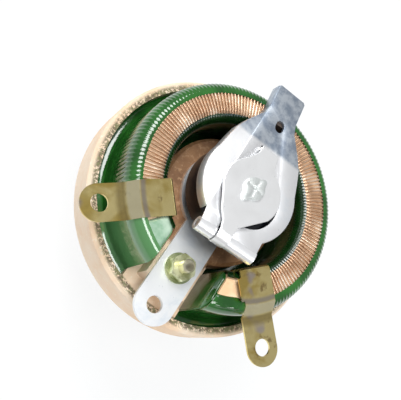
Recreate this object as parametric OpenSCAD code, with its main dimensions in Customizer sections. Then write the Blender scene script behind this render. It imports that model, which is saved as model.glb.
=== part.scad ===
// Wirewound disc rheostat.
// Origin: the shaft axis where it meets the panel. +Z runs away from the panel,
// towards the open wiper side. -Y is the side of the centre terminal.

/* [Ceramic base] */
// Outer diameter of the base
base_d = 63.5; // [62:0.5:68]
// Height of the rim above the panel
rim_h = 13; // [11:0.5:14]
// Thickness of the rim
rim_w = 2.3; // [1.8:0.1:2.6]
// Radius of the rounded lower edge
base_edge_r = 4; // [2:0.5:4]
// Chamfer on the rim
rim_chamfer = 0.6; // [0.2:0.1:0.9]
// Height of the groove's floor
groove_floor = 4.5; // [4:0.5:5]
// Diameter of the central boss
boss_d = 31.2; // [30:0.2:31.4]
// Height of the boss and of the terminal's pad
boss_h = 17.6; // [16.6:0.2:18]
// Chamfer on the boss
boss_chamfer = 0.8; // [0.4:0.1:1.2]
// Height of the floor between the core's ends
gap_floor = 12.2; // [10:0.2:12.6]
// Width of the pad under the centre terminal
pad_w = 11; // [10.4:0.2:12]
// Reach of that pad from the shaft axis
pad_reach = 26; // [25:0.5:27]

/* [Winding core] */
// Diameter of the core's centre line
ring_d = 44.4; // [44:0.2:44.8]
// Radial width of the bare core
core_w = 8; // [7.6:0.1:8.2]
// Height of the core's top face
core_top = 25.4; // [24.8:0.1:25.8]
// Gap between the two ends of the finished ring
end_gap = 15.8; // [14:0.2:17]
// Radius of the core's shoulders
core_shoulder = 2.4; // [1.8:0.1:3]
// Thickness of the cement under the winding
cement_t = 0.5; // [0.3:0.1:0.8]

/* [Winding] */
// Diameter of the resistance wire
wire_d = 0.55; // [0.45:0.05:0.6]
// Number of turns
turns = 117; // [101:2:117]
// Angle from one turn to the next
pitch = 2.2; // [2.1:0.05:2.2]

/* [Enamel] */
// Thickness of the enamel over the wires
enamel_t = 0.3; // [0.2:0.05:0.4]
// Height of the enamel that fills the moats
enamel_fill = 10.5; // [8:0.5:11.5]
// Height where the enamel ends on the shoulders
enamel_top = 24.2; // [23.4:0.1:24.4]

/* [End straps] */
// Angle of each end strap from the centre terminal
strap_angle = 45.7; // [45:0.1:47]
// Width of the straps
strap_w = 8; // [7:0.2:8.4]
// Thickness of the straps
strap_t = 0.5; // [0.4:0.05:0.7]
// Height of the underside of the lugs
lug_z = 23.6; // [23:0.1:24.4]
// Radius from the shaft to the left lug's hole
lug_left_r = 33; // [32:0.25:35]
// Radius from the shaft to the right lug's hole
lug_right_r = 34.5; // [32:0.25:36]
// Diameter of the wire holes in the three terminals
lug_hole_d = 3.8; // [3:0.1:4.2]

/* [Centre terminal] */
// Width of the centre terminal
term_w = 9.6; // [9:0.2:10]
// Thickness of the centre terminal
term_t = 1; // [0.8:0.1:1.2]
// Radius from the shaft to the terminal's wire hole
term_hole_r = 30.4; // [30:0.2:33]
// Radius from the shaft to the terminal's screw
screw_r = 20.6; // [20:0.2:21]
// Diameter of the terminal's screw
screw_d = 3; // [2.5:0.5:3]
// Length of the screw above the terminal
screw_up = 5.4; // [4:0.2:6]

/* [Shaft and bush] */
// Diameter of the control shaft
shaft_d = 6; // [5:0.5:6.35]
// Length of the shaft below the panel face
shaft_out = 25; // [18:1:50]
// Outer diameter of the threaded bush
bush_d = 10; // [9:0.5:10]
// Length of the bush below the panel face
bush_out = 11; // [10:0.5:14]
// Radial clearance of the shaft in the bush
shaft_fit = 0.05; // [0.02:0.01:0.08]

/* [Rotor] */
// Direction that the arm points at rest, from +X
arm_angle = 98; // [80:1:110]
// Diameter of the hub
hub_d = 23.4; // [22.8:0.2:23.6]
// Thickness of the arm's sheet
arm_t = 0.8; // [0.6:0.1:0.8]
// Height of the arm's underside
arm_z = 29.4; // [29.2:0.1:29.8]
// Radius of the arm's large hole
arm_hole_r = 8.3; // [8.1:0.1:8.6]
// Thickness of the spring plate
spring_t = 0.6; // [0.4:0.1:0.7]
// Radius of the spring plate's disc
spring_r = 7.4; // [7:0.1:7.6]
// Width of the channel at the arm's tip
tip_w = 7.7; // [7.2:0.1:8.2]
// Distance from the shaft to the end of the tip
tip_reach = 28; // [27.5:0.25:29]
// Radius of the hinge pin
pin_r = 0.7; // [0.5:0.05:0.8]
// Width of the brush along the track
brush_w = 5.4; // [4.6:0.2:5.6]

/* [Hidden] */

$fn = 96;
eps = 0.01;
seat = 0.02;             // gap left between faces that seat on each other
big = 100;

base_r = base_d / 2;
rim_r = base_r - rim_w;
boss_r = boss_d / 2;

ring_r = ring_d / 2;
core_ri = ring_r - core_w / 2;
core_ro = ring_r + core_w / 2;
wire_r = wire_d / 2;
wind_ri = core_ri - wire_d;
wind_ro = core_ro + wire_d;
wind_top = core_top + wire_d;
core_bottom = groove_floor + cement_t + wire_d + seat;
skin_ri = wind_ri - seat;
skin_ro = wind_ro + seat;
end_half = end_gap / 2;
end_skin = 0.4;          // enamel on the core's end faces
enamel_bottom = groove_floor + cement_t + seat;

strap_z = wind_top + seat;
strap_clear = 0.1;
leg_bottom = 15;
step_r = ring_r + 2.7;   // where a strap steps down off the core
foot_r = core_ro + wire_d + 1;
lug_r = foot_r + 0.8;
lug_gap = 4.2;           // from a lug's hole to its tip

screw_head_d = 5.6;
screw_head_h = 2.4;
head_pocket = 3.2;
m3_af = 5.5;
nut_h = 2.4;
washer_d = 7;
washer_t = 0.5;

ring_ri = 8.1;           // collector ring under the hub
ring_ro = 11.2;

bush_flange_r = 7;
bush_flange_h = 1.6;
bush_nut_af = 14;
bush_nut_h = 2.8;
nut_pocket_r = 9;
nut_pocket_h = 3.6;
relief_l = 0.8;          // thread relief of the bush below the panel face
relief_up = 0.3;
relief_depth = 0.4;
clip_t = 0.8;
clip_r = 4.6;
thrust_t = 0.6;
thrust_r = 6;

hub_foot_z = boss_h + thrust_t + 2 * seat;
hub_z = 21.4;
hub_r = hub_d / 2;
hub_foot_r = 6.8;
hub_top = arm_z - 1.8;
spigot_r = 6.4;
shaft_top = 24;
stud_z = 25;
stud_top = 32.2;
ear_reach = 4.6;
spring_z = arm_z + arm_t + 0.7;

brush_hole_at = [0, -9.65];
collector_r = 1.1;

hinge_y = -13;
hinge_z = arm_z - pin_r - 0.05;
knuckle_r = pin_r + 0.05 + arm_t;
knuckle_in = 2.3;
knuckle_out = 7.2;
bend_y = 11.2;
channel_y = 18.5;
tip_top = 29.9;
tip_flange = 3.2;
eye_r = 1.1;             // oval hole in the arm's neck
eye_y = channel_y - 0.9;
eye_l = 1;
slit_y = 10.3;
slit_w = 4.4;
slit_l = 1.4;

// ---- profiles shared by the core, its winding and its enamel ----

// Section of the core, grown by g on every side, r across and z up
module core_section(g = 0) {
  r = core_shoulder + g;
  w = core_w + 2 * g;
  translate([core_ri - g, core_bottom - g])
    square([w, core_top - core_shoulder - core_bottom + g]);
  translate([core_ri + core_shoulder, core_top - core_shoulder])
    circle(r = r);
  translate([core_ro - core_shoulder, core_top - core_shoulder])
    circle(r = r);
  translate([core_ri + core_shoulder, core_top - core_shoulder])
    square([core_w - 2 * core_shoulder, r]);
}

// Slab across the gap between the core's ends, half as wide as h
module end_slab(h) {
  translate([-h, -big, -1])
    cube([2 * h, big, big]);
}

// A bar of width w that runs from the axis along +X
module radial_slab(w, z0, z1) {
  translate([0, -w / 2, z0])
    cube([big, w, z1 - z0]);
}

// ---- base ----

module ceramic_base() {
  color("#ead2b4")
  difference() {
    union() {
      rotate_extrude()
        base_profile();
      gap_block(end_half, gap_floor, base_r - rim_w / 2);
      gap_block(pad_w / 2, boss_h, pad_reach);
    }
    translate([0, 0, -1])
      cylinder(r = bush_d / 2 + 0.1, h = big);
    translate([0, 0, boss_h - bush_flange_h])
      cylinder(r = bush_flange_r + 0.1, h = big);
    translate([0, 0, -1])
      cylinder(r = nut_pocket_r, h = nut_pocket_h + 1);
    translate([0, -screw_r, -1])
      cylinder(d = screw_d + 0.4, h = big);
    translate([0, -screw_r, -1])
      cylinder(d = screw_head_d + 0.6, h = head_pocket + 1);
  }
}

// Half section of the base: rounded floor, rim, groove and boss
module base_profile() {
  edge_x = base_r - base_edge_r;
  difference() {
    union() {
      translate([edge_x, base_edge_r])
        circle(r = base_edge_r);
      polygon([
        [0, 0], [edge_x, 0], [edge_x, base_edge_r], [base_r, base_edge_r],
        [base_r, rim_h - rim_chamfer], [base_r - rim_chamfer, rim_h], [boss_r, rim_h],
        [boss_r, boss_h - boss_chamfer], [boss_r - boss_chamfer, boss_h], [0, boss_h]
      ]);
    }
    translate([boss_r, groove_floor])
      square([rim_r - boss_r, big]);
  }
}

// Block that rises between the core's ends, w wide either side of -Y
module gap_block(w, top, reach) {
  intersection() {
    translate([-w, -reach, groove_floor - eps])
      cube([2 * w, reach, top - groove_floor + eps]);
    cylinder(r = reach, h = big);
  }
}

// ---- core, winding and enamel ----

module core_cement() {
  color("#b9b09a")
  difference() {
    translate([0, 0, groove_floor])
      cylinder(r = rim_r - seat, h = cement_t);
    cylinder(r = boss_r + seat, h = big);
    end_slab(end_half + seat);
  }
}

module ring_core() {
  color("#e3cdab")
  difference() {
    rotate_extrude()
      core_section();
    end_slab(end_half + end_skin + seat);
  }
}

// One turn of round wire: two legs, two shoulders and the bare top
module wire_turn() {
  leg = core_top - core_shoulder - core_bottom;
  bend = core_shoulder + wire_r;
  for (side = [-1, 1]) {
    translate([ring_r + side * (core_w / 2 + wire_r), 0, core_bottom])
      cylinder(r = wire_r, h = leg);
    translate([ring_r + side * (core_w / 2 - core_shoulder), 0, core_bottom + leg])
      rotate([90, 0, 0])
        rotate([0, 0, side > 0 ? 0 : 90])
          rotate_extrude(angle = 90)
            translate([bend, 0])
              circle(r = wire_r);
  }
  translate([core_ri + core_shoulder, 0, core_top + wire_r])
    rotate([0, 90, 0])
      cylinder(r = wire_r, h = core_w - 2 * core_shoulder);
}

module resistance_winding() {
  first = 90 - (turns - 1) / 2 * pitch;
  color("#c58f6c")
  for (i = [0 : turns - 1])
    rotate([0, 0, first + i * pitch])
      wire_turn($fn = 24);
}

// Enamel: a skin over the wires, the fill of both moats and the end faces
module enamel_coat() {
  color("#2e6b34")
  difference() {
    rotate_extrude()
    difference() {
      union() {
        intersection() {
          core_section(wire_d + seat + enamel_t);
          translate([0, enamel_bottom])
            square([big, enamel_top - enamel_bottom]);
        }
        translate([boss_r + seat, enamel_bottom])
          square([rim_r - boss_r - 2 * seat, enamel_fill - enamel_bottom]);
      }
      core_section(wire_d + seat);
      translate([core_ri - wire_d - seat, 0])
        square([core_w + 2 * (wire_d + seat), core_bottom]);
    }
    end_slab(end_half + seat);
    for (side = [-1, 1])
      rotate([0, 0, -90 + side * strap_angle])
        radial_slab(strap_w + 2 * strap_clear, leg_bottom - strap_clear, big);
  }
  for (side = [-1, 1])
    end_face(side);
}

// Enamel on one end face of the core
module end_face(side) {
  x0 = side > 0 ? end_half + seat : -end_half - end_skin;
  color("#3f8a45")
  intersection() {
    translate([x0, -big, enamel_fill])
      cube([end_skin - seat, big, big]);
    rotate_extrude()
      intersection() {
        core_section(0);
        square([big, core_top - 0.6]);
      }
  }
}

// ---- end straps ----

// Side view of a strap: inner leg, top and outer step, r across and z up
module strap_profile() {
  t = strap_t;
  leg_r = sqrt(pow(skin_ri, 2) - pow(strap_w / 2, 2)) - t - seat;
  bend = 1;
  translate([leg_r, leg_bottom])
    square([t, strap_z - leg_bottom + t - bend + eps]);
  translate([leg_r + bend, strap_z + t - bend])
    intersection() {
      difference() {
        circle(r = bend);
        circle(r = bend - t);
      }
      translate([-bend, 0])
        square(bend);
    }
  polygon([
    [leg_r + bend - eps, strap_z], [leg_r + bend - eps, strap_z + t], [step_r, strap_z + t],
    [foot_r, lug_z + t], [lug_r, lug_z + t], [lug_r, lug_z],
    [foot_r - t * 0.4, lug_z], [step_r - t * 0.4, strap_z]
  ]);
}

// One strap along +X, with its wire hole at hole_r
module strap(hole_r) {
  tip = hole_r + lug_gap;
  rotate([90, 0, 0])
    linear_extrude(height = strap_w, center = true)
      strap_profile();
  translate([0, 0, lug_z])
    linear_extrude(height = strap_t)
      difference() {
        union() {
          translate([lug_r - eps, -strap_w / 2])
            square([tip - strap_w / 2 - lug_r + eps, strap_w]);
          translate([tip - strap_w / 2, 0])
            circle(d = strap_w);
        }
        translate([hole_r, 0])
          circle(d = lug_hole_d);
      }
}

// Ear curled up from the strap's edge on the side of the gap
module strap_ear(side) {
  ear_r = 1.2;
  ear_l = 5;
  translate([ring_r - 3.4, side * (strap_w / 2 - eps), strap_z + ear_r])
    rotate([0, 90, 0])
      intersection() {
        difference() {
          cylinder(r = ear_r, h = ear_l);
          translate([0, 0, -1])
            cylinder(r = ear_r - strap_t, h = ear_l + 2);
        }
        translate([0, side > 0 ? 0 : -ear_r, 0])
          cube([ear_r, ear_r, ear_l]);
      }
}

module end_strap_left() {
  color("#c9a545")
  rotate([0, 0, -90 - strap_angle])
    strap(lug_left_r);
}

module end_strap_right() {
  color("#c9a545")
  rotate([0, 0, -90 + strap_angle]) {
    strap(lug_right_r);
    strap_ear(-1);
  }
}

// ---- centre terminal and its screw ----

module centre_terminal() {
  tip = term_hole_r + lug_gap + 0.4;
  color("#d7dade")
  translate([0, 0, boss_h])
  difference() {
    union() {
      cylinder(r = ring_ro, h = term_t);
      translate([-term_w / 2, -tip + term_w / 2, 0])
        cube([term_w, tip - term_w / 2, term_t]);
      translate([0, -tip + term_w / 2, 0])
        cylinder(d = term_w, h = term_t);
    }
    translate([0, 0, -1])
      cylinder(r = ring_ri, h = big);
    translate([0, -screw_r, -1])
      cylinder(d = screw_d + 0.3, h = big);
    translate([0, -term_hole_r, -1])
      cylinder(d = lug_hole_d, h = big);
  }
}

module terminal_screw() {
  top = boss_h + term_t + screw_up;
  color("#c8c28e")
  translate([0, -screw_r, 0])
  difference() {
    union() {
      translate([0, 0, head_pocket - screw_head_h])
        cylinder(d = screw_head_d, h = screw_head_h);
      translate([0, 0, head_pocket - eps])
        cylinder(d = screw_d, h = top - head_pocket - 0.3);
      translate([0, 0, top - 0.3 - 2 * eps])
        cylinder(d1 = screw_d, d2 = screw_d - 0.6, h = 0.3);
    }
    translate([-0.4, -big / 2, head_pocket - screw_head_h - 1])
      cube([0.8, big, 2]);
  }
}

module terminal_washer() {
  color("#b9b98a")
  translate([0, -screw_r, boss_h + term_t])
  difference() {
    cylinder(d = washer_d, h = washer_t);
    translate([0, 0, -1])
      cylinder(d = screw_d + 0.2, h = 3);
  }
}

module terminal_nut() {
  color("#b4b67e")
  translate([0, -screw_r, boss_h + term_t + washer_t])
    hex_nut(m3_af, nut_h, screw_d);
}

// Hex nut with its corners turned off, af across its flats
module hex_nut(af, h, bore_d) {
  difference() {
    intersection() {
      cylinder(r = af / sqrt(3), h = h, $fn = 6);
      cylinder(r1 = af * 0.53, r2 = af * 0.53 + h, h = h);
      translate([0, 0, h])
        mirror([0, 0, 1])
          cylinder(r1 = af * 0.53, r2 = af * 0.53 + h, h = h);
    }
    translate([0, 0, -1])
      cylinder(d = bore_d + 2 * seat, h = h + 2);
  }
}

// ---- bush and shaft ----

module threaded_bush() {
  color("#c9a75a")
  difference() {
    union() {
      translate([0, 0, -bush_out])
        cylinder(d = bush_d, h = bush_out + boss_h);
      translate([0, 0, boss_h - bush_flange_h])
        cylinder(r = bush_flange_r, h = bush_flange_h);
    }
    translate([0, 0, -big])
      cylinder(d = shaft_d + 2 * shaft_fit, h = 2 * big);
    translate([0, 0, -relief_l])
      difference() {
        cylinder(d = bush_d + 2, h = relief_l + relief_up);
        translate([0, 0, -1])
          cylinder(d = bush_d - 2 * relief_depth, h = relief_l + relief_up + 2);
      }
  }
}

module bush_nut() {
  color("#bdb98c")
  translate([0, 0, nut_pocket_h - bush_nut_h])
    hex_nut(bush_nut_af, bush_nut_h, bush_d);
}

module control_shaft() {
  clip_z = -bush_out - clip_t - seat;
  color("#c4c8cc")
  difference() {
    union() {
      translate([0, 0, -shaft_out + 0.5])
        cylinder(d = shaft_d, h = shaft_out - 0.5 + shaft_top);
      translate([0, 0, -shaft_out])
        cylinder(d1 = shaft_d - 1, d2 = shaft_d, h = 0.5 + eps);
    }
    translate([0, 0, clip_z - seat])
      difference() {
        cylinder(d = shaft_d + 1, h = clip_t + 2 * seat);
        translate([0, 0, -1])
          cylinder(d = shaft_d - 1.4, h = 3);
      }
    translate([-0.5, -shaft_d, -shaft_out - 1])
      cube([1, 2 * shaft_d, 2.2]);
  }
}

// Open retaining ring in the shaft's groove, against the end of the bush
module retaining_ring() {
  color("#8d9196")
  translate([0, 0, -bush_out - clip_t - seat])
  difference() {
    cylinder(r = clip_r, h = clip_t);
    translate([0, 0, -1])
      cylinder(d = shaft_d - 1.4 + 2 * seat, h = 3);
    translate([-1.9, 0, -1])
      cube([3.8, big, 3]);
  }
}

module thrust_washer() {
  color("#a8713f")
  translate([0, 0, boss_h + seat])
  difference() {
    cylinder(r = thrust_r, h = thrust_t);
    translate([0, 0, -1])
      cylinder(d = shaft_d + 0.2, h = 3);
  }
}

// ---- rotor: every piece is drawn along +Y and turned to the arm's direction ----

module at_rest() {
  rotate([0, 0, arm_angle - 90])
    children();
}

module rotor_hub() {
  color("#17191d")
  at_rest()
  difference() {
    union() {
      translate([0, 0, hub_foot_z])
        cylinder(r = hub_foot_r, h = hub_z - hub_foot_z + eps);
      translate([0, 0, hub_z])
        cylinder(r = hub_r, h = hub_top - hub_z - 0.6);
      translate([0, 0, hub_top - 0.6 - eps])
        cylinder(r1 = hub_r, r2 = hub_r - 0.6, h = 0.6 + eps);
      translate([0, 0, hub_top - 1])
        cylinder(r = spigot_r, h = spring_z - seat - hub_top + 1);
    }
    translate([0, 0, -eps])
      cylinder(d = shaft_d + 2 * seat, h = shaft_top + seat);
    translate([0, 0, stud_z - seat])
      cylinder(d = shaft_d + 2 * seat, h = big);
    translate([brush_hole_at[0], brush_hole_at[1], 0])
      cylinder(r = collector_r + 0.05, h = big);
  }
}

module rotor_stud() {
  color("#c9ccd0")
  at_rest() {
    translate([0, 0, stud_z])
      cylinder(d = shaft_d, h = stud_top - stud_z);
    intersection() {
      translate([-0.9, -ear_reach, spring_z + spring_t])
        cube([1.8, 2 * ear_reach, stud_top - 0.2 - spring_z - spring_t]);
      translate([0, 0, spring_z])
        cylinder(r = ear_reach, h = 3);
    }
  }
}

module collector_brush() {
  color("#4a4643")
  at_rest()
  translate([brush_hole_at[0], brush_hole_at[1], boss_h + term_t + seat])
    cylinder(r = collector_r, h = 4.6);
}

// Closed-up coil spring above the collector brush, drawn as stacked rings
module collector_spring() {
  z0 = boss_h + term_t + 4.6 + 2 * seat;
  z1 = arm_z - seat;
  coil_r = 0.17;
  coils = 6;
  step = (z1 - z0 - 2 * coil_r) / (coils - 1);
  color("#b8bcc0")
  at_rest()
  translate([brush_hole_at[0], brush_hole_at[1], z0 + coil_r])
  for (i = [0 : coils - 1])
    translate([0, 0, i * step])
      rotate_extrude($fn = 32)
        translate([collector_r - coil_r, 0])
          circle(r = coil_r, $fn = 16);
}

// Raised disc with a finger into the arm's slit and a tail to the hinge pin
module spring_plate() {
  finger_w = 4;
  tail_w = 2 * knuckle_in - 0.4;
  color("#e6e8ea")
  at_rest()
  difference() {
    union() {
      translate([0, 0, spring_z])
        cylinder(r = spring_r, h = spring_t);
      translate([0, 0, spring_z - 0.6])
        difference() {
          cylinder(r = spring_r, h = 0.6 + eps);
          translate([0, 0, -1])
            cylinder(r = spring_r - spring_t, h = 3);
        }
      translate([-finger_w / 2, 0, spring_z])
        cube([finger_w, slit_y + 0.5, spring_t]);
      translate([-finger_w / 2, slit_y, arm_z])
        cube([finger_w, 0.5, spring_z - arm_z + eps]);
      translate([-tail_w / 2, hinge_y + 1, spring_z])
        cube([tail_w, -hinge_y - 1, spring_t]);
      spring_eye(tail_w);
    }
    translate([0, 0, spring_z - 1])
      cylinder(d = shaft_d + 2 * seat, h = 3);
  }
}

// Eye at the end of the spring plate's tail, round the hinge pin
module spring_eye(w) {
  top = spring_z + spring_t;
  translate([-w / 2, hinge_y, hinge_z])
  rotate([90, 0, 90])
  linear_extrude(height = w)
  difference() {
    union() {
      circle(r = knuckle_r);
      translate([0.4, 0])
        square([0.8, top - hinge_z]);
    }
    circle(r = pin_r + seat);
  }
}

module hinge_pin() {
  color("#b5b9bd")
  at_rest()
  translate([-knuckle_out - 0.3, hinge_y, hinge_z])
    rotate([0, 90, 0])
      cylinder(r = pin_r, h = 2 * knuckle_out + 0.6);
}

// The arm: plate, sloping neck, tip channel, side flanges and knuckles
module contact_arm() {
  color("#dcdfe2")
  at_rest()
  difference() {
    union() {
      arm_plate();
      arm_neck();
      tip_channel();
      for (side = [-1, 1])
        knuckle(side);
    }
    translate([0, 0, arm_z - 3])
      cylinder(r = arm_hole_r, h = 6);
    translate([-slit_w / 2, slit_y - 0.4, arm_z - 1])
      cube([slit_w, slit_l, 4]);
    translate([0, eye_y, 0])
      cylinder(r = eye_r, h = big);
    translate([0, eye_y + eye_l, 0])
      cylinder(r = eye_r, h = big);
    translate([-eye_r, eye_y, 0])
      cube([2 * eye_r, eye_l, big]);
    translate([-knuckle_in, hinge_y - 4, arm_z - 4])
      cube([2 * knuckle_in, 5.8, 8]);
  }
}

// Flat pear-shaped plate with a down-turned flange along its edge
module arm_plate() {
  translate([0, 0, arm_z])
    linear_extrude(height = arm_t)
      arm_shape();
  translate([0, 0, arm_z - 1.1])
    linear_extrude(height = 1.1 + eps)
      difference() {
        arm_shape();
        arm_shape(arm_t);
        translate([-big, -big])
          square([2 * big, big - 8]);
        translate([-big, bend_y])
          square([2 * big, big]);
      }
}

// Pear outline: a circle, tangent-like sides to the neck, a square tail
module arm_shape(g = 0) {
  intersection() {
    union() {
      circle(r = 12 - g);
      polygon([
        [-10.9 + g, 5], [-neck_x(bend_y) + g, bend_y], [neck_x(bend_y) - g, bend_y],
        [10.9 - g, 5]
      ]);
    }
    translate([-big, -10.6])
      square([2 * big, bend_y + 10.6]);
  }
  translate([-knuckle_out + g, hinge_y])
    square([2 * (knuckle_out - g), 6]);
}

// Half-width of the arm's sides between the round part and the channel
function neck_x(y) = 10.9 + (tip_w / 2 + 0.4 - 10.9) * (y - 5) / (channel_y - 5);

// Neck that slopes from the bend down to the channel
module arm_neck() {
  intersection() {
    translate([-big / 2, 0, 0])
      rotate([90, 0, 90])
        linear_extrude(height = big)
          polygon([
            [bend_y - eps, arm_z], [bend_y - eps, arm_z + arm_t],
            [channel_y, tip_top], [channel_y, tip_top - arm_t]
          ]);
    translate([0, 0, arm_z - 3])
      linear_extrude(height = 6)
        polygon([
          [-neck_x(bend_y), bend_y - eps], [-neck_x(channel_y), channel_y],
          [neck_x(channel_y), channel_y], [neck_x(bend_y), bend_y - eps]
        ]);
  }
}

// Channel that holds the brush: top, two side flanges and a closed end
module tip_channel() {
  translate([-tip_w / 2, channel_y - eps, tip_top - arm_t])
    cube([tip_w, tip_reach - channel_y + eps, arm_t]);
  for (side = [-1, 1])
    translate([side > 0 ? tip_w / 2 - arm_t : -tip_w / 2, channel_y - eps, tip_top - tip_flange - eps])
      cube([arm_t, tip_reach - channel_y + eps, tip_flange]);
  translate([-tip_w / 2, tip_reach - arm_t, tip_top - tip_flange])
    cube([tip_w, arm_t, tip_flange]);
}

// Rolled knuckle on one side of the arm's tail
module knuckle(side) {
  w = knuckle_out - knuckle_in;
  translate([side > 0 ? knuckle_in : -knuckle_out, hinge_y, hinge_z])
  rotate([90, 0, 90])
  linear_extrude(height = w)
  difference() {
    union() {
      circle(r = knuckle_r);
      translate([0, arm_z - hinge_z])
        square([3, arm_t]);
    }
    circle(r = pin_r + 0.05);
  }
}

module contact_brush() {
  y0 = channel_y + 0.6;
  y1 = tip_reach - arm_t - seat;
  color("#5a463c")
  at_rest()
  translate([-brush_w / 2, y0, wind_top + 0.05])
    cube([brush_w, y1 - y0, tip_top - arm_t - seat - wind_top - 0.05]);
}

ceramic_base();
core_cement();
ring_core();
resistance_winding();
enamel_coat();
end_strap_left();
end_strap_right();
centre_terminal();
terminal_screw();
terminal_washer();
terminal_nut();
threaded_bush();
bush_nut();
control_shaft();
retaining_ring();
thrust_washer();
rotor_hub();
rotor_stud();
collector_brush();
collector_spring();
spring_plate();
hinge_pin();
contact_arm();
contact_brush();
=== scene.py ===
import math

import bpy
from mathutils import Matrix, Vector


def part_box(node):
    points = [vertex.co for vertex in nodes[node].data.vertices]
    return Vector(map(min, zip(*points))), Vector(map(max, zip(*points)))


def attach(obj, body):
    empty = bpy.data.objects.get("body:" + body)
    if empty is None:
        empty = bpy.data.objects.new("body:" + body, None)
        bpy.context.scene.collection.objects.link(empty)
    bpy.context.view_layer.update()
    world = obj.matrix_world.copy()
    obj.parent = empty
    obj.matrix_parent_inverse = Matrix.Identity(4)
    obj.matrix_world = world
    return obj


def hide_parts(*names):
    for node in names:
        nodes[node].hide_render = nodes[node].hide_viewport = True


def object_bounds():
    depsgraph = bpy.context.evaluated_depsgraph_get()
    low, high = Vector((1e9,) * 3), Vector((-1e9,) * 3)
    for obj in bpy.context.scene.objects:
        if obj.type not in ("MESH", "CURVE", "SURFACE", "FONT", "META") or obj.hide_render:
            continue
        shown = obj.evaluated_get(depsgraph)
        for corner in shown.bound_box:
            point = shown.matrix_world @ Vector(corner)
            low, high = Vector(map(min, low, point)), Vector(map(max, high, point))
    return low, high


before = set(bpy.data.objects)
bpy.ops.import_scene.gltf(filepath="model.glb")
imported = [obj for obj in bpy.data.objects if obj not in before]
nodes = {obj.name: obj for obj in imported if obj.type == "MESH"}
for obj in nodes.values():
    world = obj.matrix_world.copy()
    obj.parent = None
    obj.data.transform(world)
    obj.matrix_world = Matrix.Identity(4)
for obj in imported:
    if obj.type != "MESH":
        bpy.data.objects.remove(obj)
cad_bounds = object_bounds()

# ---------------------------------------------------------------------------
# The view, the floor and the light.
# The rheostat is looked at from above its open side, on white, in the soft
# even light of a product shot.

MM = 0.001


def only(obj=None):
    """Select one object, or nothing."""
    if bpy.context.object and bpy.context.object.mode != "OBJECT":
        bpy.ops.object.mode_set(mode="OBJECT")
    bpy.ops.object.select_all(action="DESELECT")
    if obj:
        obj.select_set(True)
        bpy.context.view_layer.objects.active = obj
    return obj


camera_data = bpy.data.cameras.new("view_camera")
camera_data.lens = 53.95
camera_data.sensor_width = 36
camera_data.clip_start = 0.01
camera = bpy.data.objects.new("view_camera", camera_data)
camera.location = Vector((-39.83, -67.45, 137.65)) * MM
camera.rotation_euler = [math.radians(a) for a in (13.100, -28.665, 35.131)]
bpy.context.scene.collection.objects.link(camera)
bpy.context.scene.camera = camera
bpy.context.scene.view_settings.view_transform = "Standard"


class Link:
    """A value in a material's node tree. Sums on it add Math nodes."""

    def __init__(self, tree, socket):
        self.tree = tree
        self.socket = socket

    def node(self, kind, settings=None, sockets=None, out=0):
        made = self.tree.nodes.new("ShaderNode" + kind)
        for key, value in (settings or {}).items():
            setattr(made, key, value)
        for key, value in (sockets or {}).items():
            if isinstance(value, Link):
                self.tree.links.new(value.socket, made.inputs[key])
            else:
                made.inputs[key].default_value = value
        return Link(self.tree, made.outputs[out])

    def math(self, operation, *values):
        sockets = {i: v for i, v in enumerate((self,) + values)}
        return self.node("Math", {"operation": operation}, sockets)

    def __add__(self, other): return self.math("ADD", other)

    def __sub__(self, other): return self.math("SUBTRACT", other)

    def __mul__(self, other): return self.math("MULTIPLY", other)

    def __rsub__(self, other): return (self * -1).math("ADD", other)

    __radd__ = __add__
    __rmul__ = __mul__

    def between(self, low, high):
        """0 below low, 1 above high, smooth between."""
        return self.node("MapRange", {"interpolation_type": "SMOOTHSTEP"},
                         {0: self, 1: low, 2: high, 3: 0.0, 4: 1.0})

    def blend(self, first, second):
        """first where this mask is 0, second where it is 1."""
        first, second = [(*c, 1) if isinstance(c, tuple) and len(c) == 3 else c
                         for c in (first, second)]
        return self.node("Mix", {"data_type": "RGBA"}, {0: self, 6: first, 7: second}, out=2)

    def axes(self):
        return [self.node("SeparateXYZ", {}, {0: self}, out=i) for i in range(3)]

    def noise(self, scale, detail=3.0, rough=0.5, warp=0.0):
        return self.node("TexNoise", {}, {"Vector": self, "Scale": scale, "Detail": detail,
                                          "Roughness": rough, "Distortion": warp})


class Finish:
    """A material: its place, its sockets and a way to set them."""

    def __init__(self, name, **plain):
        self.material = bpy.data.materials.new(name)
        self.material.use_nodes = True
        self.tree = self.material.node_tree
        self.shader = self.tree.nodes["Principled BSDF"]
        start = Link(self.tree, None)
        self.place = start.node("TexCoord", {}, {}, out=3)
        for socket, value in plain.items():
            self.set(socket.replace("_", " "), value)

    def place_mm(self):
        """The place's three coordinates in mm."""
        return [a * 1000 for a in self.place.axes()]

    def set(self, socket, value):
        if isinstance(value, Link):
            self.tree.links.new(value.socket, self.shader.inputs[socket])
        else:
            if isinstance(value, tuple) and len(value) == 3:
                value = (*value, 1)
            self.shader.inputs[socket].default_value = value

    def bump(self, height, strength, distance):
        self.set("Normal", height.node("Bump", {}, {"Height": height, "Strength": strength,
                                                    "Distance": distance}))

    def coat(self, obj):
        obj.data.materials.clear()
        obj.data.materials.append(self.material)
        for face in obj.data.polygons:
            face.material_index = 0
        return obj


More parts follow.
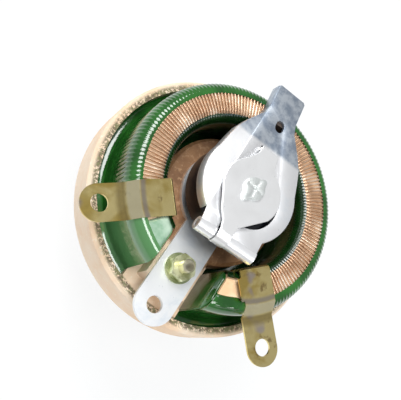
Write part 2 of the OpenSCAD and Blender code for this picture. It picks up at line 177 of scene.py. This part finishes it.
def floor_finish():
    """Matt white, lit as it is, and lifted to white for the camera and for reflections."""
    white = Finish("floor_white", Base_Color=(0.93, 0.94, 0.95), Roughness=0.9)
    tree = white.tree
    path = tree.nodes.new("ShaderNodeLightPath")
    seen = Link(tree, path.outputs["Is Camera Ray"])
    seen = seen.math("MAXIMUM", Link(tree, path.outputs["Is Glossy Ray"]))
    glow = tree.nodes.new("ShaderNodeEmission")
    glow.inputs["Strength"].default_value = 1.0
    glow.inputs["Color"].default_value = (0.985, 0.995, 1.0, 1)
    mix = tree.nodes.new("ShaderNodeMixShader")
    tree.links.new((seen * 0.86).socket, mix.inputs[0])
    tree.links.new(white.shader.outputs[0], mix.inputs[1])
    tree.links.new(glow.outputs[0], mix.inputs[2])
    tree.links.new(mix.outputs[0], tree.nodes["Material Output"].inputs[0])
    return white


only()
floor_z = cad_bounds[0][2] - 0.5 * MM
bpy.ops.mesh.primitive_plane_add(size=6, location=(0, 0, floor_z))
floor = bpy.context.object
floor.name = "floor"
floor_finish().coat(floor)


def lamp(name, place, size, power):
    """A square soft box that faces the middle of the ring."""
    data = bpy.data.lights.new(name, "AREA")
    data.shape = "SQUARE"
    data.size = size
    data.energy = power
    made = bpy.data.objects.new(name, data)
    made.location = place
    aim = Vector((0, 0, 0.02)) - made.location
    made.rotation_euler = aim.to_track_quat("-Z", "Y").to_euler()
    bpy.context.scene.collection.objects.link(made)


lamp("key_box", Vector((-0.42, 0.30, 0.75)), 0.42, 6.0)
lamp("fill_box", Vector((0.55, -0.45, 0.60)), 0.30, 2.2)
lamp("top_box", Vector((-0.05, -0.10, 0.95)), 0.30, 3.0)

world = bpy.data.worlds.new("white_room")
bpy.context.scene.world = world
world.use_nodes = True
background = world.node_tree.nodes["Background"]
background.inputs["Color"].default_value = (1, 1, 1, 1)
room = Link(world.node_tree, world.node_tree.nodes.new("ShaderNodeLightPath").outputs[0])
world.node_tree.links.new((room * 0.68 + 0.32).socket, background.inputs["Strength"])

# ---------------------------------------------------------------------------
# The ceramic base: one moulded and fired piece with a rounded lower edge, a
# groove for the ring and a boss for the bush. Its looks change with place:
# cream outside, gritty on the rim's inner edge and stained brown on the boss.


def ceramic():
    """Fired ceramic, cream on the wall, brown on the boss, gritty on the rim."""
    made = Finish("base_ceramic", Roughness=0.62, IOR=1.5)
    x, y, z = made.place_mm()
    radius = (x * x + y * y).math("SQRT")
    cloud = made.place.noise(90, 4, 0.6)
    fine = made.place.noise(900, 3, 0.7)
    grain = made.place.noise(2600, 2, 0.6)
    wall = cloud.between(0.35, 0.68).blend((0.93, 0.77, 0.60), (0.90, 0.66, 0.45))
    wall = fine.between(0.55, 0.80).blend(wall, (0.96, 0.86, 0.72))
    brown = cloud.between(0.35, 0.65).blend((0.33, 0.17, 0.075), (0.19, 0.09, 0.04))
    brown = fine.between(0.50, 0.72).blend(brown, (0.46, 0.27, 0.14))
    specks = grain.between(0.66, 0.72) * fine.between(0.45, 0.60)
    brown = specks.blend(brown, (0.06, 0.03, 0.02))
    boss = (z.between(12.8, 14.0)) * (1 - radius.between(16.6, 18.5))
    colour = boss.blend(wall, brown)
    edge = radius.between(28.7, 29.3) * (1 - radius.between(30.2, 31.3)) * z.between(10.0, 12.0)
    grit = edge * made.place.noise(1500, 3, 0.75).between(0.40, 0.50)
    dirt = fine.between(0.4, 0.6).blend((0.09, 0.06, 0.03), (0.16, 0.17, 0.06))
    colour = (grit * 0.92).blend(colour, dirt)
    made.set("Base Color", colour)
    made.bump(grain * 0.6 + fine * 0.6 + grit * 0.8, 0.35, 0.00025)
    return made


ceramic().coat(nodes["ceramic_base"])


def stone(name, low, high, rough=0.75):
    """Bare fired or set material with a cloudy colour and a fine grain."""
    made = Finish(name, Roughness=rough)
    tone = made.place.noise(220, 4, 0.6).between(0.35, 0.65).blend(low, high)
    made.set("Base Color", tone)
    made.bump(made.place.noise(2400, 3, 0.6), 0.25, 0.0002)
    return made


stone("core_ceramic", (0.90, 0.70, 0.47), (0.80, 0.52, 0.30)).coat(nodes["ring_core"])
stone("cement", (0.55, 0.47, 0.36), (0.42, 0.34, 0.25)).coat(nodes["core_cement"])
stone("fibre", (0.42, 0.20, 0.09), (0.30, 0.13, 0.05)).coat(nodes["thrust_washer"])
for name, brush in (("graphite", "contact_brush"), ("graphite_small", "collector_brush")):
    stone(name, (0.10, 0.075, 0.06), (0.05, 0.035, 0.03), 0.5).coat(nodes[brush])

# ---------------------------------------------------------------------------
# The winding: one layer of bare resistance wire, 117 turns side by side over
# the core. It is bright where the arm's brush runs and darker down the walls.


def wire_finish():
    """Bare copper-nickel wire, pale on the track and brown on the shoulders."""
    made = Finish("resistance_wire", Metallic=0.6)
    z = made.place_mm()[2]
    streak = made.place.noise(420, 4, 0.65)
    tan = streak.between(0.35, 0.65).blend((0.66, 0.44, 0.29), (0.50, 0.31, 0.19))
    pale = made.place.noise(150, 2, 0.5).between(0.5, 0.7).blend(tan, (0.86, 0.70, 0.55))
    shade = (25.2 - z).between(0.0, 1.6)
    made.set("Base Color", shade.blend(pale, (0.30, 0.20, 0.10)))
    made.set("Roughness", streak * 0.25 + 0.22)
    made.bump(made.place.noise(2600, 2, 0.5), 0.15, 0.0001)
    return made


wire_finish().coat(nodes["resistance_winding"])

# ---------------------------------------------------------------------------
# The enamel: glassy green, fired on. It fills both moats, climbs the walls and
# follows the turns over the shoulders in ribs, which fade down the walls.

# The ring's section in mm, and where its winding starts.
RING = dict(r=22.2, half=4.55, corner=2.95, corner_z=23.0, foot=5.1)
FIRST_TURN = math.radians(90 - 116 / 2 * 2.2)
PITCH = math.radians(2.2)
CORE_END = 8.0
SKIN_END = 7.95
COVER_END = 8.05
MOAT_TOP = 10.4


def new_object(name, points, faces):
    """A new object from points in mm and faces, selected."""
    mesh = bpy.data.meshes.new(name)
    mesh.from_pydata([Vector(p) * MM for p in points], [], faces)
    made = bpy.data.objects.new(name, mesh)
    bpy.context.scene.collection.objects.link(made)
    return only(made)


def mesh_piece(name, points, faces, smooth=40):
    """A new object with its doubled points joined and its normals set outwards."""
    made = new_object(name, points, faces)
    bpy.ops.object.mode_set(mode="EDIT")
    bpy.ops.mesh.select_all(action="SELECT")
    bpy.ops.mesh.remove_doubles(threshold=0.000002)
    bpy.ops.mesh.normals_make_consistent(inside=False)
    bpy.ops.object.mode_set(mode="OBJECT")
    bpy.ops.object.shade_smooth_by_angle(angle=math.radians(smooth))
    return made


def tube_faces(count, loops):
    """Faces of a tube through loops of count points each, closed at both ends."""
    faces = []
    for k in range(loops - 1):
        here, there = k * count, (k + 1) * count
        for i in range(count):
            j = (i + 1) % count
            faces.append((here + i, here + j, there + j, there + i))
    faces.append(tuple(range(count)))
    faces.append(tuple((loops - 1) * count + i for i in range(count - 1, -1, -1)))
    return faces


def skin_outline(side):
    """Section of the enamel on one wall: radius, height and how much it ribs."""
    wall = RING["half"] + 0.02
    flat = RING["half"] - RING["corner"]
    top = 86 if side > 0 else 60
    back = [(wall, RING["foot"], 0), (wall, 15, 0), (wall, RING["corner_z"], 0)]
    front = []
    for i in range(1, 9):
        a = math.radians(top * i / 8)
        back.append((flat + 2.97 * math.cos(a), RING["corner_z"] + 2.97 * math.sin(a), 0))
    for i in range(8, -1, -1):
        a = math.radians(top * i / 8)
        grown = 2.97 + 0.04 + 0.26 * (1 - (i / 8) ** 2)
        front.append((flat + grown * math.cos(a), RING["corner_z"] + grown * math.sin(a),
                      1.0 if i > 2 else 0.9))
    for i in range(1, 11):
        z = RING["corner_z"] - i * 1.15
        front.append((wall + 0.30 + 0.01 * i, z, max(0.0, 0.85 - i * 0.14)))
    gap = 2.62 if side > 0 else 1.98
    foot = [(wall + 0.55, 10.9, 0), (wall + gap * 0.45, 10.45, 0), (wall + gap * 0.8, MOAT_TOP, 0),
            (wall + gap, 10.9, 0), (wall + gap, RING["foot"], 0)]
    return [(RING["r"] + side * w, z, rib) for w, z, rib in back + front + foot]


def enamel_skin(name, side, columns=900):
    """Sweep the section round the ring between the two flat ends."""
    outline = skin_outline(side)
    points = []
    for c in range(columns + 1):
        for r, z, rib in outline:
            end = math.asin(SKIN_END / r)
            a = -math.pi / 2 + end + (2 * math.pi - 2 * end) * c / columns
            wave = 0.5 + 0.5 * math.cos((a - FIRST_TURN) / PITCH * 2 * math.pi)
            from_gap = abs(math.degrees(a) + 90 - (360 if a > math.pi / 2 else 0))
            if from_gap < 46:
                wave = 0.9
            drift = 0.05 * math.sin(a * 23 + z) * math.sin(a * 7.3 + z * 1.7)
            push = side * (rib * (0.20 * wave - 0.12) + (0.5 - abs(rib - 0.5)) * drift)
            points.append(((r + push) * math.cos(a), (r + push) * math.sin(a), z))
    return mesh_piece(name, points, tube_faces(len(outline), columns + 1))


def end_glaze(name, side, top):
    """The enamel that runs over one flat end of the core."""
    outline = []
    for i in range(25):
        t = i / 24
        r = 17.45 + t * 9.55
        edge = min(t, 1 - t) * 9.55
        drop = 2.6 * max(0.0, 1 - edge / 2.6) ** 2
        outline.append((-math.sqrt(r * r - CORE_END ** 2),
                        top - drop + 0.18 * math.sin(9 * t + side)))
    outline += [(outline[-1][0], MOAT_TOP), (outline[0][0], MOAT_TOP)]
    points = []
    steps = [(7.72, -0.35), (7.86, -0.1), (8.0, 0.0), (8.31, 0.0)]
    middle = (sum(p[0] for p in outline) / len(outline), 17.5)
    for x, grow in steps:
        for y, z in outline:
            k = 1 + grow / CORE_END
            points.append((side * x, middle[0] + (y - middle[0]) * k,
                           middle[1] + (z - middle[1]) * k))
    return mesh_piece(name, points, tube_faces(len(outline), len(steps)), 50)


def enamel_finish(name, deep, bright, rough=0.07):
    """Glossy vitreous enamel with a cloudy tone. Its darker and lighter copies below are painted
    shade and painted light.
    """
    made = Finish(name, IOR=1.55, Coat_Weight=0.6, Coat_Roughness=0.04)
    cloud = made.place.noise(130, 4, 0.6)
    colour = cloud.between(0.35, 0.68).blend(deep, bright)
    if name == "green_enamel":
        x, y = made.place_mm()[:2]
        # Painted light: a lighter green is painted on the outer wall near the left end of the core.
        painted_light_left_end = (y * -1 - x * -1.02).between(-0.4, 0.2)
        painted_light_left_end = painted_light_left_end * (0 - x).between(2, 4) * (0 - y).between(8, 10)
        colour = painted_light_left_end.blend(colour, (0.085, 0.235, 0.085))
    made.set("Base Color", colour)
    made.set("Roughness", cloud * 0.12 + rough)
    made.bump(made.place.noise(260, 2, 0.5) + made.place.noise(2200, 2, 0.5) * 0.08, 0.2, 0.0006)
    return made


def end_cover(name, a0, a1, r0, r1, lift):
    """Smooth enamel that lies on top of the core between a strap and the core's end."""
    across, along = 16, 14
    points, faces = [], []
    for level in (1, 0):
        for i in range(along + 1):
            for j in range(across + 1):
                r = r0 + (r1 - r0) * j / across
                end = math.copysign(math.asin(COVER_END / r), a1 + 90) - math.pi / 2
                a = math.radians(a0) + (end - math.radians(a0)) * i / along
                u, v = i / along, j / across
                dome = min(1.0, 5 * min(u, 1 - u)) ** 0.5 * min(1.0, 4 * min(v, 1 - v)) ** 0.5
                wave = 0.14 * math.sin(5.1 * u + 7 * v) * math.sin(3.3 * u - 4 * v)
                from_side = min(v, 1 - v)
                shoulder = 2.2 * (max(0.0, 0.26 - from_side) / 0.26) ** 2
                z = 25.38 + (lift + wave) * dome * level - 0.35 * (1 - level) - shoulder
                points.append((r * math.cos(a), r * math.sin(a), z))
    size = (along + 1) * (across + 1)
    row = across + 1
    for i in range(along):
        for j in range(across):
            k = i * row + j
            faces.append((k, k + 1, k + row + 1, k + row))
            faces.append((size + k, size + k + row, size + k + row + 1, size + k + 1))
    rim = [j for j in range(row)] + [i * row + across for i in range(1, along + 1)]
    rim += [along * row + j for j in range(across - 1, -1, -1)]
    rim += [i * row for i in range(along - 1, 0, -1)]
    for k, here in enumerate(rim):
        there = rim[(k + 1) % len(rim)]
        faces.append((here, size + here, size + there, there))
    return mesh_piece(name, points, faces, 50)


left_cover = end_cover("enamel_top_left", -125.0, -110.0, 17.7, 26.7, 0.55)
right_cover = end_cover("enamel_top_right", -55.0, -70.0, 22.6, 26.7, 0.45)
outer_skin = enamel_skin("enamel_outer", 1)
inner_skin = enamel_skin("enamel_inner", -1)
left_glaze = end_glaze("enamel_end_left", -1, 25.2)
right_glaze = end_glaze("enamel_end_right", 1, 24.7)
# The darker copy on the inner wall is painted shade, and the lighter copy on the left end's face is
# painted light.
green = enamel_finish("green_enamel", (0.008, 0.065, 0.008), (0.022, 0.14, 0.018))
shaded_green_enamel = enamel_finish("green_enamel_painted_shade", (0.003, 0.018, 0.003), (0.008, 0.045, 0.007))
lit_green_enamel = enamel_finish("green_enamel_painted_light", (0.10, 0.30, 0.10), (0.19, 0.44, 0.17))
glass = enamel_finish("green_enamel_glass", (0.16, 0.34, 0.20), (0.48, 0.62, 0.50), 0.04)
for skin, look in ((outer_skin, green), (inner_skin, shaded_green_enamel), (left_glaze, lit_green_enamel),
                   (right_glaze, green), (left_cover, glass), (right_cover, green)):
    look.coat(skin)
    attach(skin, "base")
    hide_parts("enamel_coat")

ARM = math.radians(98 - 90)

# ---------------------------------------------------------------------------
# The end straps and the centre terminal: plated sheet. The two straps are
# yellow-passivated and hug the core, the centre strip is bright.


def yellow_plate():
    """Yellow-passivated plating with brown stains and a faint violet, and painted light across the
    step of each strap.
    """
    made = Finish("yellow_plated", Metallic=0.9)
    big = made.place.noise(120, 3, 0.55, 0.6)
    fine = made.place.noise(900, 3, 0.6)
    gold = big.between(0.38, 0.60).blend((0.62, 0.46, 0.13), (0.88, 0.74, 0.34))
    stain = made.place.noise(260, 4, 0.7).between(0.58, 0.70)
    gold = (stain * 0.75).blend(gold, (0.26, 0.15, 0.05))
    violet = made.place.noise(170, 2, 0.5).between(0.62, 0.75)
    gold = (violet * 0.6).blend(gold, (0.46, 0.42, 0.55))
    x, y = made.place_mm()[:2]
    radius = (x * x + y * y).math("SQRT")
    # Painted light on the strap's bends: a painted highlight on the step's slope, painted shade at
    # its foot and a painted dark reflection on the top just before the step.
    painted_highlight_slope = radius.between(24.6, 25.1) * (1 - radius.between(26.9, 27.5))
    painted_shade_foot = radius.between(27.2, 27.8) * (1 - radius.between(28.6, 30.0))
    painted_dark_reflection = radius.between(23.2, 24.0) * (1 - radius.between(24.4, 24.9))
    gold = (painted_highlight_slope * 0.8).blend(gold, (0.97, 0.90, 0.62))
    gold = (painted_shade_foot * 0.7).blend(gold, (0.36, 0.27, 0.10))
    gold = (painted_dark_reflection * 0.7).blend(gold, (0.40, 0.36, 0.36))
    made.set("Base Color", gold)
    made.set("Roughness", fine * 0.16 + 0.10)
    made.bump(big + fine * 0.1, 0.12, 0.0006)
    return made


gold = yellow_plate()
gold.coat(nodes["end_strap_left"])
gold.coat(nodes["end_strap_right"])


def bright_plate(name, tint=(0.90, 0.92, 0.95), dark=(0.62, 0.68, 0.76), amount=0.5, rough=0.24,
                 painted_reflection_tip=None):
    """Zinc-plated sheet, nearly white, with soft grey-blue clouds and specks. Given a tip colour,
    the arm's tip past 11.2 mm gets a painted blue-grey reflection.
    """
    made = Finish(name, Metallic=0.75)
    cloud = made.place.noise(95, 4, 0.6, 0.4)
    specks = made.place.noise(1900, 2, 0.7).between(0.70, 0.76)
    colour = (cloud.between(0.50, 0.72) * amount).blend(tint, dark)
    if painted_reflection_tip:
        # Painted reflection: the tip of the arm is painted blue-grey.
        x, y = made.place_mm()[:2]
        along = y * math.cos(ARM) - x * math.sin(ARM)
        mottle = made.place.noise(330, 4, 0.7).between(0.35, 0.65)
        grey = mottle.blend(painted_reflection_tip, (0.60, 0.66, 0.73))
        colour = along.between(11.2, 12.4).blend(colour, grey)
    made.set("Base Color", (specks * 0.5).blend(colour, (0.35, 0.40, 0.46)))
    made.set("Roughness", cloud * 0.2 + rough)
    made.bump(made.place.noise(700, 3, 0.6), 0.06, 0.0003)
    return made


bright_plate("strip_plated", (0.93, 0.95, 0.97), (0.70, 0.76, 0.83), 0.8, 0.30).coat(
    nodes["centre_terminal"])


def screw_plate(name, low, high, rough=0.22):
    """Plated fixings with a greenish-yellow passivation."""
    made = Finish(name, Metallic=0.85)
    cloud = made.place.noise(420, 3, 0.6)
    made.set("Base Color", cloud.between(0.35, 0.65).blend(low, high))
    made.set("Roughness", cloud * 0.2 + rough)
    made.bump(made.place.noise(1800, 2, 0.6), 0.1, 0.0002)
    return made


screw_plate("nut_plated", (0.40, 0.42, 0.20), (0.74, 0.76, 0.50)).coat(nodes["terminal_nut"])
screw_plate("washer_plated", (0.30, 0.36, 0.18), (0.55, 0.58, 0.36)).coat(nodes["terminal_washer"])
screw_plate("bush_brass", (0.74, 0.58, 0.30), (0.84, 0.70, 0.42)).coat(nodes["threaded_bush"])
screw_plate("bush_nut_plated", (0.66, 0.66, 0.46), (0.80, 0.80, 0.62)).coat(nodes["bush_nut"])
screw_plate("clip_steel", (0.40, 0.42, 0.44), (0.52, 0.54, 0.56)).coat(nodes["retaining_ring"])
screw_plate("shaft_steel", (0.70, 0.72, 0.74), (0.80, 0.82, 0.84)).coat(nodes["control_shaft"])
screw_plate("pin_steel", (0.55, 0.58, 0.62), (0.72, 0.75, 0.79)).coat(nodes["hinge_pin"])
screw_plate("coil_steel", (0.55, 0.58, 0.62), (0.72, 0.75, 0.79)).coat(nodes["collector_spring"])

# ---------------------------------------------------------------------------
# The terminal's screw: a rod with a helical thread. It lies inside the
# screw's own solid and is flush with it at the top.


def threaded_stud(name, base, r, length, pitch, chamfer):
    """A round rod on +Z with a thread of real pitch, from its foot upwards."""
    around, steps = 24, int(length / pitch * 10)
    points = []
    for s in range(steps + 1):
        z = length * s / steps
        for a in range(around):
            turn = (z / pitch - a / around) % 1.0
            depth = 0.6 * pitch * abs(turn - 0.5) * 2 * 0.9
            edge = max(0.0, z - (length - chamfer))
            here = min(r - depth * 0.55, r - edge)
            w = 2 * math.pi * a / around
            points.append((base[0] + here * math.cos(w), base[1] + here * math.sin(w), base[2] + z))
    faces = tube_faces(around, steps + 1)
    faces[-2:] = [face[::-1] for face in faces[-2:]]
    return mesh_piece(name, points, faces, 35)


screw_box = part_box("terminal_screw")
screw_x = (screw_box[0][0] + screw_box[1][0]) / 2 / MM
screw_y = (screw_box[0][1] + screw_box[1][1]) / 2 / MM
screw_top = screw_box[1][2] / MM
THREAD_FOOT = 18.3
stud = threaded_stud("screw_thread", (screw_x, screw_y, THREAD_FOOT), 1.5,
                     screw_top - THREAD_FOOT, 0.5, 0.35)
screw_look = screw_plate("screw_plated", (0.90, 0.86, 0.66), (0.80, 0.74, 0.50), 0.2)
screw_look.coat(stud)
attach(stud, "base")
screw_look.coat(nodes["terminal_screw"])

# ---------------------------------------------------------------------------
# The hub: a black thermoset moulding that insulates the arm from the shaft.
# It carries the staked stud, whose rough end stands out of the plate.


def hub_finish():
    """Black moulding with a faint blue sheen and a dusty grain."""
    made = Finish("hub_black", Roughness=0.3, Coat_Weight=0.3, Coat_Roughness=0.2)
    dust = made.place.noise(700, 4, 0.65).between(0.58, 0.75)
    made.set("Base Color", (dust * 0.35).blend((0.004, 0.006, 0.012), (0.06, 0.06, 0.07)))
    made.bump(made.place.noise(1500, 2, 0.6), 0.12, 0.0003)
    return made


hub_finish().coat(nodes["rotor_hub"])

# ---------------------------------------------------------------------------
# The arm: one stamping of bright sheet with a turned-down skirt, a channel at
# the tip for the brush and two rolled knuckles at the tail.


def at_rest(x, y, z):
    """A point given along the arm, as a point of the frame."""
    return (x * math.cos(ARM) - y * math.sin(ARM), x * math.sin(ARM) + y * math.cos(ARM), z)


def arc(cx, cy, r, a0, a1, steps):
    """Points on an arc, from angle a0 to a1 in degrees."""
    return [(cx + r * math.cos(math.radians(a0 + (a1 - a0) * i / steps)),
             cy + r * math.sin(math.radians(a0 + (a1 - a0) * i / steps))) for i in range(steps + 1)]


ARM_TOP = 30.2
SKIRT = 2.75
TURN_DOWN = 0.55
TAPER_START = 11.5


def pressed_sheet(name, outline, levels, thick, open_edges=()):
    """Fill an outline, turn its edge down and thicken it.

    levels gives each point its top height and its skirt's depth.
    """
    count = len(outline)
    points = [at_rest(x, y, levels(x, y)[0]) for x, y in outline]
    points += [at_rest(x * 1.012, y * 1.012, levels(x, y)[0] - TURN_DOWN) for x, y in outline]
    for x, y in outline:
        top, skirt = levels(x, y)
        points.append(at_rest(x * 1.016, y * 1.016, top - skirt))
    faces = [tuple(range(count))]
    for i in range(count):
        j = (i + 1) % count
        if i in open_edges:
            continue
        faces.append((i, j, count + j, count + i))
        faces.append((count + i, count + j, 2 * count + j, 2 * count + i))
    made = new_object(name, points, faces)
    bpy.ops.object.mode_set(mode="EDIT")
    bpy.ops.mesh.select_all(action="SELECT")
    bpy.ops.mesh.delete_loose()
    bpy.ops.mesh.select_all(action="SELECT")
    bpy.ops.mesh.normals_make_consistent(inside=False)
    bpy.ops.object.mode_set(mode="OBJECT")
    solid = made.modifiers.new("thickness", "SOLIDIFY")
    solid.thickness = thick * MM
    solid.offset = -1
    solid.use_even_offset = True
    bpy.ops.object.modifier_apply(modifier="thickness")
    return made


def prism(name, outline, z0, z1):
    """An upright closed prism, used as a cutter or as a flat piece of sheet."""
    n = len(outline)
    points = [at_rest(x, y, z0) for x, y in outline] + [at_rest(x, y, z1) for x, y in outline]
    faces = [tuple(range(n - 1, -1, -1)), tuple(range(n, 2 * n))]
    faces += [(i, (i + 1) % n, n + (i + 1) % n, n + i) for i in range(n)]
    return mesh_piece(name, points, faces, 30)


def cut(obj, cutter):
    """Subtract the cutter and delete it."""
    only(obj)
    hole = obj.modifiers.new("hole", "BOOLEAN")
    hole.object = cutter
    hole.solver = "EXACT"
    bpy.ops.object.modifier_apply(modifier="hole")
    bpy.data.objects.remove(cutter, do_unlink=True)


def soften(obj, width, segments=2):
    """Break the sharp edges as pressing and tumbling do."""
    only(obj)
    edge = obj.modifiers.new("edge", "BEVEL")
    edge.width = width * MM
    edge.segments = segments
    edge.limit_method = "ANGLE"
    edge.angle_limit = math.radians(40)
    edge.use_clamp_overlap = True
    bpy.ops.object.modifier_apply(modifier="edge")
    bpy.ops.object.shade_smooth_by_angle(angle=math.radians(40))


def arm_levels(x, y):
    """Top height and skirt depth of the arm at a point of its outline."""
    if y < TAPER_START:
        return ARM_TOP, SKIRT
    t = min(1.0, (y - TAPER_START) / 8.0)
    return ARM_TOP - 0.35 * t, SKIRT + 0.35 * t


arm_outline = (arc(0, 0, 12.0, -50, 24, 14) + [(10.2, 8.0), (9.2, 11.5), (7.6, 14.6), (5.9, 17.2),
               (4.6, 19.2), (4.0, 21.5), (4.0, 27.9), (3.5, 28.4), (-3.5, 28.4), (-4.0, 27.9),
               (-4.0, 21.5), (-4.6, 19.2), (-5.9, 17.2), (-7.6, 14.6), (-9.2, 11.5), (-10.2, 8.0)]
               + arc(0, 0, 12.0, 156, 230, 14) + [(-7.4, -12.9), (7.4, -12.9)])
last = len(arm_outline)
arm = pressed_sheet("arm_plate", arm_outline, arm_levels, 0.75,
                    open_edges=(last - 3, last - 2, last - 1))
cut(arm, prism("cut_hole", arc(0.9, -1.5, 7.2, 0, 352.5, 47), 28.5, 31))
cut(arm, prism("cut_slit", [(-2.0, 9.9), (2.6, 9.9), (2.6, 11.3), (-2.0, 11.3)], 28.5, 31))
oval = arc(0.3, 18.8, 1.15, 0, 180, 10) + arc(0.3, 17.9, 1.15, 180, 360, 10)
cut(arm, prism("cut_eye", oval, 28, 31))
cut(arm, prism("cut_notch", [(-3.3, -14), (0.3, -14), (0.3, -10.2), (-3.3, -10.2)], 28, 31))
soften(arm, 0.16)


def knuckle(name, x0, x1):
    """The tail's edge rolled round the pin: an open spiral of sheet."""
    path = []
    for i in range(25):
        a = math.radians(90 + 330 * i / 24)
        r = 1.30 - 0.20 * i / 24
        path.append((-13.0 + r * math.cos(a), 28.6 + r * math.sin(a) * 1.12, a))
    outer = [(y + 0.35 * math.cos(a), z + 0.35 * math.sin(a)) for y, z, a in path]
    inner = [(y - 0.35 * math.cos(a), z - 0.35 * math.sin(a)) for y, z, a in path]
    section = [(-12.2, outer[0][1])] + outer + inner[::-1] + [(-12.2, inner[0][1])]
    n = len(section)
    points = [at_rest(x0, y, z) for y, z in section] + [at_rest(x1, y, z) for y, z in section]
    faces = [(i, (i + 1) % n, n + (i + 1) % n, n + i) for i in range(n)]
    faces += [tuple(range(n - 1, -1, -1)), tuple(range(n, 2 * n))]
    made = mesh_piece(name, points, faces, 35)
    soften(made, 0.06, 1)
    return made


left_knuckle = knuckle("arm_knuckle_left", -7.6, -3.3)
right_knuckle = knuckle("arm_knuckle_right", 0.3, 7.6)
# The last colour is the painted blue-grey reflection on the arm's tip.
arm_look = bright_plate("arm_plated", (0.97, 0.98, 1.0), (0.80, 0.86, 0.92), 0.6, 0.26,
                        (0.30, 0.36, 0.45))
for sheet in (arm, left_knuckle, right_knuckle):
    arm_look.coat(sheet)
    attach(sheet, "arm")
    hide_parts("contact_arm")

# ---------------------------------------------------------------------------
# The spring plate: a raised plate over the hole, with a finger into the slit
# and a tail that hooks over the pin. The stud is staked over its middle.

plate_outline = (arc(0, -0.6, 7.5, -32, 38, 12) + [(4.2, 5.8), (3.0, 7.0), (2.7, 8.6), (2.5, 10.4),
                 (-1.9, 10.4), (-2.3, 8.6), (-3.0, 7.4), (-4.6, 5.4)]
                 + arc(0, -0.6, 7.5, 142, 212, 12) + [(-4.9, -8.4), (-3.5, -10.4), (-3.1, -12.6),
                 (0.1, -12.6), (0.5, -10.2), (3.4, -7.4)])
plate = prism("spring_plate_sheet", plate_outline, 30.85, 31.4)
soften(plate, 0.15)
hook_line = [(-12.5, 31.35), (-13.6, 31.0), (-14.4, 30.2), (-14.8, 29.2), (-14.7, 28.0),
             (-14.2, 27.2)]
hook_points = []
for x in (-3.1, 0.1):
    for shift in (0.0, 0.5):
        for y, z in hook_line:
            hook_points.append(at_rest(x, y + shift * 0.8, z - shift))
h = len(hook_line)
hook_faces = []
for k in range(h - 1):
    hook_faces += [(k, k + 1, 2 * h + k + 1, 2 * h + k),
                   (h + k + 1, h + k, 3 * h + k, 3 * h + k + 1),
                   (k + 1, k, h + k, h + k + 1),
                   (2 * h + k, 2 * h + k + 1, 3 * h + k + 1, 3 * h + k)]
hook_faces += [(0, 2 * h, 3 * h, h), (h - 1, 2 * h - 1, 4 * h - 1, 3 * h - 1)]
hook = mesh_piece("spring_plate_hook", hook_points, hook_faces, 40)
finger_line = [(-1.9, 10.0), (2.5, 10.0), (2.5, 10.5), (-1.9, 10.5)]
finger = prism("spring_plate_finger", finger_line, 29.3, 31.2)
plate_look = bright_plate("plate_plated", (0.98, 0.99, 1.0), (0.86, 0.90, 0.94), 0.5, 0.28)
for sheet in (plate, hook, finger):
    plate_look.coat(sheet)
    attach(sheet, "rotor")
    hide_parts("spring_plate")

# ---------------------------------------------------------------------------
# The stud's staked end: a rough round head with two small ears and a crossed
# dent, spread over the spring plate.

RINGS, AROUND = 10, 48
HEAD_R, HEAD_TOP, HEAD_FOOT = 2.55, 32.15, 31.2


def stud_head():
    """Rings of points from the middle outwards, the last one down at the plate."""
    points = []
    for k in range(RINGS + 1):
        for i in range(AROUND):
            a = 2 * math.pi * i / AROUND
            ear = max(0.0, math.cos(a - math.radians(255))) ** 24 * 1.5
            ear += max(0.0, math.cos(a - math.radians(68))) ** 24 * 1.1
            r = (HEAD_R + ear) * min(1.0, k / (RINGS - 1) + 0.02)
            rough = 0.07 * math.sin(13 * a + k * 2.1) * math.cos(5 * a - k * 1.3)
            cross = 0.14 * math.exp(-(math.sin(2 * a) * r) ** 2 * 1.4) * (1 if k < 8 else 0)
            z = HEAD_TOP - 0.25 * (k / RINGS) ** 6 + rough - cross if k < RINGS else HEAD_FOOT
            points.append((0.1 + r * math.cos(a), -0.1 + r * math.sin(a), z))
    return mesh_piece("stud_head", points, tube_faces(AROUND, RINGS + 1), 50)


head = stud_head()
stud_look = bright_plate("stud_plated", (0.80, 0.84, 0.83), (0.52, 0.60, 0.58), 0.9, 0.3)
stud_look.coat(head)
stud_look.coat(nodes["rotor_stud"])
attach(head, "rotor")
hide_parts("rotor_stud")
